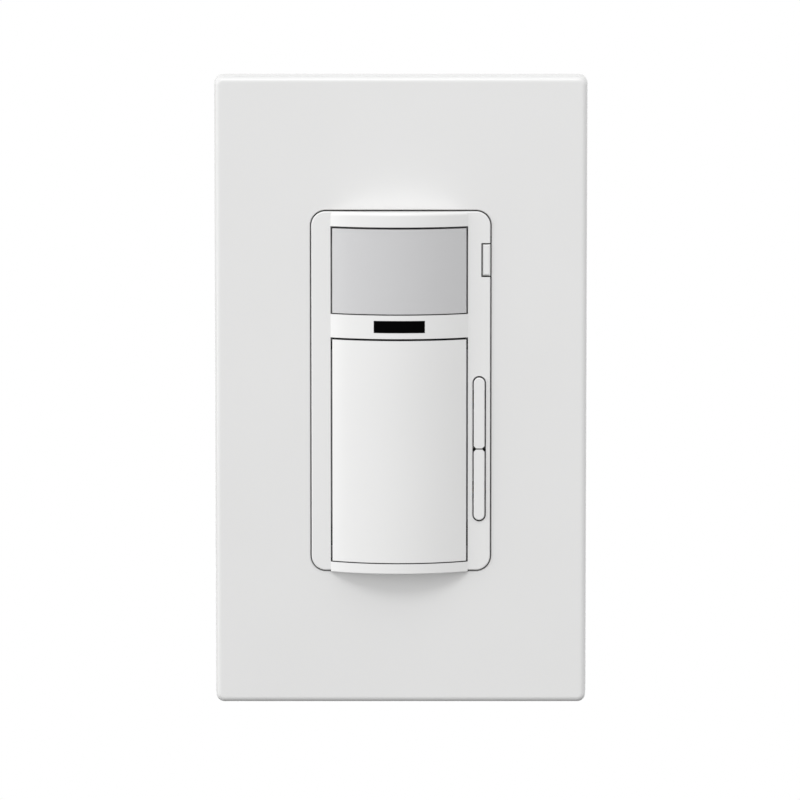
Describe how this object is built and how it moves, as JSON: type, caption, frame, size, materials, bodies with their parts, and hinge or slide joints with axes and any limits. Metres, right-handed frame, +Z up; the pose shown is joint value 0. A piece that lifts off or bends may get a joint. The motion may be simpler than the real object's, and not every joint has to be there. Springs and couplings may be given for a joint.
{
  "type": "motion sensor light switch",
  "caption": "Motion sensing wall dimmer: bowed push pad under a satin sensor lens, slim dimming rocker, pull-out air-gap tab, screwless cover plate, strap and rear box.",
  "frame": {"origin": "on the wall surface, at the centre of the cover plate's opening", "axes": "+X to the right as seen by someone who faces the switch, +Y into the wall, +Z up"},
  "size_m": [0.0688, 0.0431, 0.1164],
  "materials": {
    "cover_plastic": "satin moulded",
    "face_plastic": "smooth moulded",
    "adapter_plastic": "moulded",
    "lens_plastic": "satin, translucent",
    "window_plastic": "polished, smoked",
    "pipe_plastic": "clear",
    "strap_metal": "brushed",
    "screw_steel": "zinc plated",
    "spring_steel": "bright strip",
    "fibre": "pressed fibre",
    "housing_plastic": "fine moulded grain",
    "switch_plastic": "moulded",
    "button_plastic": "moulded",
    "baffle_plastic": "dull",
    "can_metal": "nickel plated",
    "filter_glass": "dark coated",
    "board_laminate": "solder resist",
    "led_resin": "clear resin",
    "chip_resin": "moulded resin",
    "contact_brass": "stamped",
    "nickel": "nickel plated",
    "ground_green": "green plating",
    "insulator_sheet": "filled silicone",
    "ferrite": "sintered",
    "copper_wire": "enamelled",
    "film_box": "boxed resin",
    "can_sleeve": "sleeved can",
    "varistor_resin": "dipped resin",
    "fuse_ceramic": "ceramic"
  },
  "bodies": {
    "frame": {"wall_plate": "cover_plastic", "plate_adapter": "adapter_plastic", "plate_screws": "screw_steel", "box_screws": "screw_steel", "screw_retainers": "fibre", "strap": "strap_metal", "bezel": "face_plastic", "pir_lens": "lens_plastic", "indicator_window": "window_plastic", "light_pipe": "pipe_plastic", "pad_spring": "spring_steel", "switch_bodies": "switch_plastic", "airgap_contacts": "contact_brass", "light_baffle": "baffle_plastic", "pir_sensor": "can_metal", "pir_filter": "filter_glass", "control_board": "board_laminate", "status_led": "led_resin", "light_cell": "led_resin", "controller_chip": "chip_resin", "board_connector": "switch_plastic", "connector_pins": "contact_brass", "power_board": "board_laminate", "triac": "chip_resin", "triac_insulator": "insulator_sheet", "triac_screw": "screw_steel", "choke_core": "ferrite", "choke_winding": "copper_wire", "film_capacitor": "film_box", "electrolytic_capacitor": "can_sleeve", "varistor": "varistor_resin", "fuse_tube": "fuse_ceramic", "fuse_caps": "nickel", "rear_housing": "housing_plastic", "housing_screws": "screw_steel", "live_terminals": "contact_brass", "neutral_terminals": "nickel", "live_screws": "contact_brass", "neutral_screws": "nickel", "wire_clamps": "screw_steel", "bus_strips": "contact_brass", "ground_screw": "ground_green"},
    "pad": {"push_pad": "face_plastic"},
    "pad_button": {"pad_switch_plunger": "button_plastic"},
    "rocker": {"dim_rocker": "face_plastic"},
    "brighten_button": {"brighten_plunger": "button_plastic"},
    "dim_button": {"dim_plunger": "button_plastic"},
    "airgap_tab": {"airgap_slider": "face_plastic", "airgap_bridge": "contact_brass"}
  },
  "joints": [
    {"name": "pad_press", "type": "hinge", "parent": "frame", "child": "pad", "pos_m": [-0.00028, -0.0035, 0.00822], "axis": [1, 0, 0], "range_deg": [0, 1.2], "stiffness_Nm_per_rad": 0.1, "springref_deg": -5.73, "deforming": ["pad_spring"]},
    {"name": "pad_button_press", "type": "slide", "parent": "frame", "child": "pad_button", "axis": [0, 1, 0], "range_m": [0, 0.0005]},
    {"name": "rocker_tilt", "type": "hinge", "parent": "frame", "child": "rocker", "pos_m": [0.01445, -0.0041, -0.01065], "axis": [1, 0, 0], "range_deg": [-2.5, 2.5], "stiffness_Nm_per_rad": 0.004},
    {"name": "brighten_press", "type": "slide", "parent": "frame", "child": "brighten_button", "axis": [0, 1, 0], "range_m": [-0.00037, 0.00037]},
    {"name": "dim_press", "type": "slide", "parent": "frame", "child": "dim_button", "axis": [0, 1, 0], "range_m": [-0.00037, 0.00037]},
    {"name": "airgap_pull", "type": "slide", "parent": "frame", "child": "airgap_tab", "axis": [0, -1, 0], "range_m": [0, 0.0032]}
  ],
  "couplings": [
    {"joint": "pad_button_press", "follows": "pad_press", "m_per_rad": 0.02214},
    {"joint": "rocker_tilt", "follows": "brighten_press", "rad_per_m": -117.65},
    {"joint": "dim_press", "follows": "brighten_press", "ratio": -1}
  ]
}
